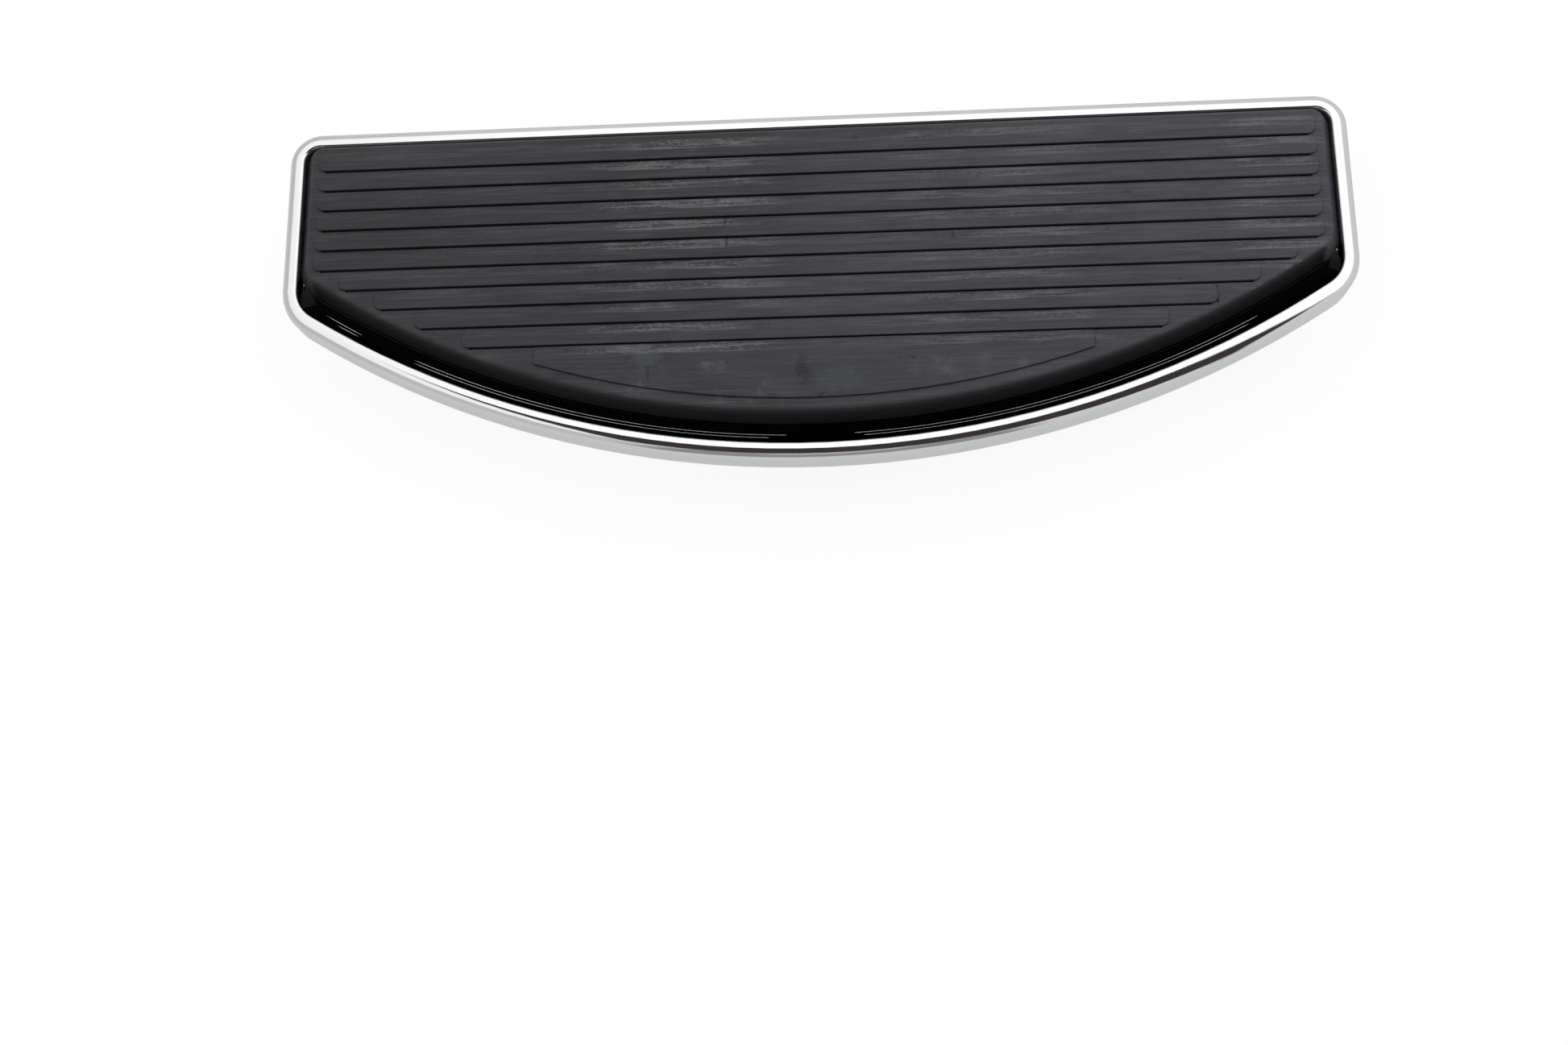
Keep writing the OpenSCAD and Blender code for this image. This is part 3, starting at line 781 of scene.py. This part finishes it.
@dataclass
class NippleTip:
    """The torn end of one nipple, cut off by hand after the tread was pulled in."""

    name: str
    centre: tuple[float, float]
    finish: bpy.types.Material
    tip_z: float = -8.3 * MM
    outer_r: float = 6.62 * MM
    rim_share: float = 0.985
    rim_rise: float = 0.02 * MM
    hollow_r: float = 4.7 * MM
    inner_share: float = 0.96
    ragged: float = 0.75 * MM
    ragged_waves: float = 1.9
    finer: float = 3.1
    uneven: float = 0.18 * MM
    uneven_waves: float = 2.3
    heights: tuple[float, ...] = (-0.12 * MM, 0.55 * MM, 2.2 * MM)
    sides: int = 72

    def radius(self, angle: float, layer: int) -> float:
        """Returns the ragged radius of the torn hole.

        Args:
            angle: The direction seen from the nipple's middle.
            layer: Which of the rings it is for.

        Returns:
            The radius in metres.
        """
        if layer == len(self.heights) - 1:
            return self.hollow_r * self.inner_share
        waves = self.ragged_waves
        spot = Vector((math.cos(angle) * waves, math.sin(angle) * waves, layer * 0.6 + self.centre[0] * 40))
        broad, fine = noise.noise(spot), noise.noise(spot * self.finer)
        return self.hollow_r - self.ragged * (0.35 + 0.75 * broad + 0.35 * fine)

    def rise(self, angle: float) -> float:
        """Returns how far the cut stands out of true in a direction."""
        waves = self.uneven_waves
        spot = Vector((math.cos(angle) * waves, math.sin(angle) * waves, self.centre[1] * 50))
        return self.uneven * noise.noise(spot)

    def build(self) -> None:
        """Rings the hollow with a thin torn lip that stands a little proud of the cut."""
        shape = bmesh.new()
        rim_r = self.outer_r * self.rim_share
        rim = bmesh.ops.create_circle(shape, segments=self.sides, radius=rim_r)["verts"]
        bmesh.ops.translate(shape, verts=rim, vec=(0.0, 0.0, self.tip_z + self.rim_rise))
        rings = [rim]
        for layer, height in enumerate(self.heights):
            ring = bmesh.ops.create_circle(shape, segments=self.sides, radius=self.hollow_r)["verts"]
            for vert in ring:
                angle = math.atan2(vert.co.y, vert.co.x)
                r = self.radius(angle, layer)
                z = self.tip_z + height + self.rise(angle)
                vert.co = Vector((r * math.cos(angle), r * math.sin(angle), z))
            rings.append(ring)
        for first, second in zip(rings, rings[1:]):
            edges = [e for e in shape.edges if all(v in first for v in e.verts)]
            edges += [e for e in shape.edges if all(v in second for v in e.verts)]
            bmesh.ops.bridge_loops(shape, edges=edges)
        bmesh.ops.translate(shape, verts=shape.verts[:], vec=(*self.centre, 0.0))
        finish_piece(shape, self.name, self.finish)


@dataclass
class LedgeLines:
    """Fine raised lines that the casting carries on its ledge, along the curved edge."""

    finish: bpy.types.Material
    lines: tuple[tuple[float, float, float], ...] = (
        (8.6, -159.0, -147.0),
        (8.6, -129.0, -8.5),
        (8.6, 13.0, 141.0),
        (7.5, -155.0, -148.0),
        (7.5, -129.0, -14.0),
        (7.5, 16.0, 138.0),
    )
    thickness: float = 0.26 * MM
    section_sides: int = 10
    step: float = math.radians(0.5)
    fewest_steps: int = 4
    foot_inset: float = 12.0 * MM
    foot_slope: float = math.radians(10.0)
    rim_slope: float = math.radians(40.0)

    def height(self, inset: float) -> float:
        """Returns the height of the hollow ledge at a distance from the curved edge."""
        width = self.foot_inset - OUTLINE.rim_width
        hollow = width / (math.sin(self.rim_slope) - math.sin(self.foot_slope))
        run = self.foot_inset + hollow * math.sin(self.foot_slope) - inset
        return OUTLINE.floor_top_z + hollow * math.cos(self.foot_slope) - math.sqrt(hollow ** 2 - run ** 2)

    def build(self) -> None:
        """Sweeps a fine round section along the ledge for each line."""
        upright = Matrix.Rotation(math.radians(90.0), 4, "Y") @ Matrix.Rotation(math.radians(90.0), 4, "Z")
        for number, (inset, start, end) in enumerate(self.lines, 1):
            r = OUTLINE.curve_r - inset * MM
            first, last = math.asin(start * MM / r), math.asin(end * MM / r)
            shape = bmesh.new()
            thick = self.thickness / 2
            ring = bmesh.ops.create_circle(shape, segments=self.section_sides, radius=thick)["verts"]
            bmesh.ops.transform(shape, matrix=upright, verts=ring)
            bmesh.ops.translate(shape, verts=ring, vec=(0.0, -r, self.height(inset * MM)))
            turned = Matrix.Rotation(first, 3, "Z")
            bmesh.ops.rotate(shape, verts=ring, cent=(0, 0, 0), matrix=turned)
            cap = shape.faces.new(ring)
            steps = max(self.fewest_steps, round((last - first) / self.step))
            bmesh.ops.spin(shape, geom=[cap] + cap.edges[:] + cap.verts[:], cent=(0, 0, 0), axis=(0, 0, 1),
                           angle=last - first, steps=steps, use_duplicate=False)
            bmesh.ops.translate(shape, verts=shape.verts[:], vec=(0.0, OUTLINE.curve_y, 0.0))
            finish_piece(shape, f"ledge_line_{number}", self.finish)


@dataclass
class LightTent:
    """Grey walls and a white top over a pale floor, with a dark shade overhead on the camera's side."""

    floor_z: float = -13.62 * MM
    reach: float = 3.0
    white: float = 1.14
    wall: float = 0.64
    shade_sides: tuple[tuple[float, float, float], ...] = (
        (-1.0, 0.0, 0.35),
        (0.0, 1.0, 0.19),
        (0.77, 0.63, 0.29),
        (1.0, 0.0, 0.70),
        (-0.1, -1.0, 0.66),
    )
    shade_edge: float = 0.03
    dark: Colour = (0.045, 0.036, 0.038)
    rising: tuple[float, float] = (0.60, 0.76)
    leftward: Ramp = Ramp(-0.40, -0.15, 0.84, 1.0)
    front: float = 0.27
    lamp: float = 0.46
    front_spread: float = 0.42
    front_side: Ramp = Ramp(-0.08, 0.05, 1.0, 0.0)
    front_top: Ramp = Ramp(0.74, 0.82, 1.0, 0.0)
    lamp_z: float = 0.63
    lamp_height: Ramp = Ramp(0.06, 0.12, 1.0, 0.0)
    lamp_width: Ramp = Ramp(0.08, 0.16, 1.0, 0.0)
    seen: Colour = (1.0, 1.0, 1.0)

    def build(self) -> None:
        """Lays the floor and draws the tent as the world's light."""
        shape = bmesh.new()
        bmesh.ops.create_grid(shape, x_segments=1, y_segments=1, size=self.reach)
        bmesh.ops.translate(shape, verts=shape.verts[:], vec=(0.0, 0.0, self.floor_z))
        mesh = bpy.data.meshes.new("tent_floor")
        shape.to_mesh(mesh)
        shape.free()
        mesh.materials.append(PaleFloor().build())
        floor = bpy.data.objects.new("tent_floor", mesh)
        bpy.context.scene.collection.objects.link(floor)
        self.light()

    def shade(self, graph: Graph, x: Socket, y: Socket, z: Socket) -> Socket:
        """Draws the dark shade overhead, from which the board is seen.

        Args:
            graph: The world's graph.
            x: The part along X of the direction that is looked in.
            y: Its part along Y.
            z: Its part along Z.

        Returns:
            1 inside the shade, falling to 0 at its edges.
        """
        inside = graph.math("GREATER_THAN", z, 0.0)
        for along_x, along_y, limit in self.shade_sides:
            far = graph.math("MULTIPLY_ADD", x, along_x, graph.math("MULTIPLY", y, along_y))
            edge = Ramp(limit - self.shade_edge, limit + self.shade_edge, 1.0, 0.0)
            inside = graph.product(inside, graph.ramp(far, edge))
        return inside

    def light(self) -> None:
        """Draws grey walls under a white top, the darker front, its lamp and the shade into the world."""
        world = bpy.data.worlds.new("tent")
        world.use_nodes = True
        graph = Graph(world.node_tree)
        x, y, z = graph.split(graph.add("TexCoord").outputs["Generated"])
        height = Ramp(*self.rising, self.wall, self.white)
        walls = graph.product(graph.ramp(z, height), graph.ramp(x, self.leftward))
        across = graph.math("ABSOLUTE", x)
        sideways = graph.math("ADD", across, graph.math("MULTIPLY", y, self.front_spread))
        low = graph.product(graph.ramp(sideways, self.front_side), graph.ramp(z, self.front_top))
        lamp = graph.product(graph.ramp(graph.off(z, self.lamp_z), self.lamp_height),
                             graph.ramp(across, self.lamp_width))
        front = graph.math("MULTIPLY_ADD", lamp, self.lamp - self.front, self.front)
        walls = graph.mix(low, walls, front)
        tent = graph.mix(self.shade(graph, x, y, z), walls, self.dark)
        lit = graph.add("Background")
        graph.feed(lit.inputs["Color"], tent)
        lit.inputs["Strength"].default_value = 1.0
        backdrop = graph.add("Background")
        graph.feed(backdrop.inputs["Color"], self.seen)
        backdrop.inputs["Strength"].default_value = 1.0
        chosen = graph.add("MixShader")
        graph.feed(chosen.inputs[0], graph.add("LightPath").outputs["Is Camera Ray"])
        graph.feed(chosen.inputs[1], lit.outputs[0])
        graph.feed(chosen.inputs[2], backdrop.outputs[0])
        output = graph.add("OutputWorld")
        graph.feed(output.inputs["Surface"], chosen.outputs[0])
        bpy.context.scene.world = world
        LOG.info("tent: shade with %d sides", len(self.shade_sides))


@dataclass
class Viewpoint:
    """The photograph's camera, found from the outline of the board."""

    azimuth: float = 14.1287
    elevation: float = 75.4493
    roll: float = -15.156
    offset: tuple[float, float, float] = (-7.9044 * MM, -134.9376 * MM, 557.4621 * MM)
    crown_origin: tuple[float, float, float] = (0.0, 9.5 * MM, 17.2 * MM)
    focal_pixels: float = 2100.0
    image_width: float = 1946.0
    sensor: float = 36.0
    clip: tuple[float, float] = (0.01, 20.0)

    def axes(self) -> tuple[Vector, Vector, Vector]:
        """Returns the camera's right, up and back directions."""
        a, e, r = (math.radians(v) for v in (self.azimuth, self.elevation, self.roll))
        back = Vector((math.sin(a) * math.cos(e), -math.cos(a) * math.cos(e), math.sin(e)))
        right = Vector((math.cos(a), math.sin(a), 0.0))
        up = back.cross(right)
        return right * math.cos(r) + up * math.sin(r), up * math.cos(r) - right * math.sin(r), back

    def build(self) -> None:
        """Creates the camera and makes it the scene's."""
        right, up, back = self.axes()
        place = Vector(self.crown_origin)
        for way, reach in zip((right, up, back), self.offset):
            place += way * reach
        data = bpy.data.cameras.new("camera")
        data.sensor_width = self.sensor
        data.lens = self.sensor * self.focal_pixels / self.image_width
        data.clip_start, data.clip_end = self.clip
        camera = bpy.data.objects.new("camera", data)
        camera.matrix_world = Matrix((
            (right.x, up.x, back.x, place.x),
            (right.y, up.y, back.y, place.y),
            (right.z, up.z, back.z, place.z),
            (0.0, 0.0, 0.0, 1.0),
        ))
        bpy.context.scene.collection.objects.link(camera)
        bpy.context.scene.camera = camera
        LOG.info("camera: %.1f mm lens", data.lens)


@dataclass
class Floorboard:
    """The whole board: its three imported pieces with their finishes, and the detail on them."""

    nipples: tuple[tuple[str, float, float], ...] = (
        ("left_nipple_tip", -135.6, -45.3),
        ("right_nipple_tip", 135.6, -45.3),
        ("near_nipple_tip", 0.0, -21.5),
        ("far_nipple_tip", 0.0, -82.7),
    )

    def dress(self, node: Node, material: bpy.types.Material) -> None:
        """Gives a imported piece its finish.

        Args:
            node: The piece.
            material: Its material.
        """
        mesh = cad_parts[node.value].data
        for place in range(max(1, len(mesh.materials))):
            if place < len(mesh.materials):
                mesh.materials[place] = material
            else:
                mesh.materials.append(material)
        LOG.info("%s dressed in %s", node.value, material.name)

    def build(self) -> None:
        """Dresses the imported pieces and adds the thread, the ledge's lines and the torn tips."""
        chrome, rubber, turned = CastChrome().build(), TreadRubber().build(), TurnedChrome().build()
        self.dress(Node.PAN, chrome)
        self.dress(Node.TREAD, rubber)
        self.dress(Node.PEG, turned)
        SparePegHole(turned).build()
        dull = TurnedChrome("line_chrome", tone=(0.62, 0.62, 0.63), roughness=0.25, ring_share=0.0)
        LedgeLines(dull.build()).build()
        for name, x, y in self.nipples:
            NippleTip(name, (x * MM, y * MM), rubber).build()


def main() -> None:
    """Builds the board, its surroundings and the camera."""
    logging.basicConfig(level=logging.INFO, format="%(name)s %(message)s")
    bpy.context.scene.view_settings.view_transform = "Standard"
    Viewpoint().build()
    Floorboard().build()
    LightTent().build()


if __name__ == "__main__":
    main()
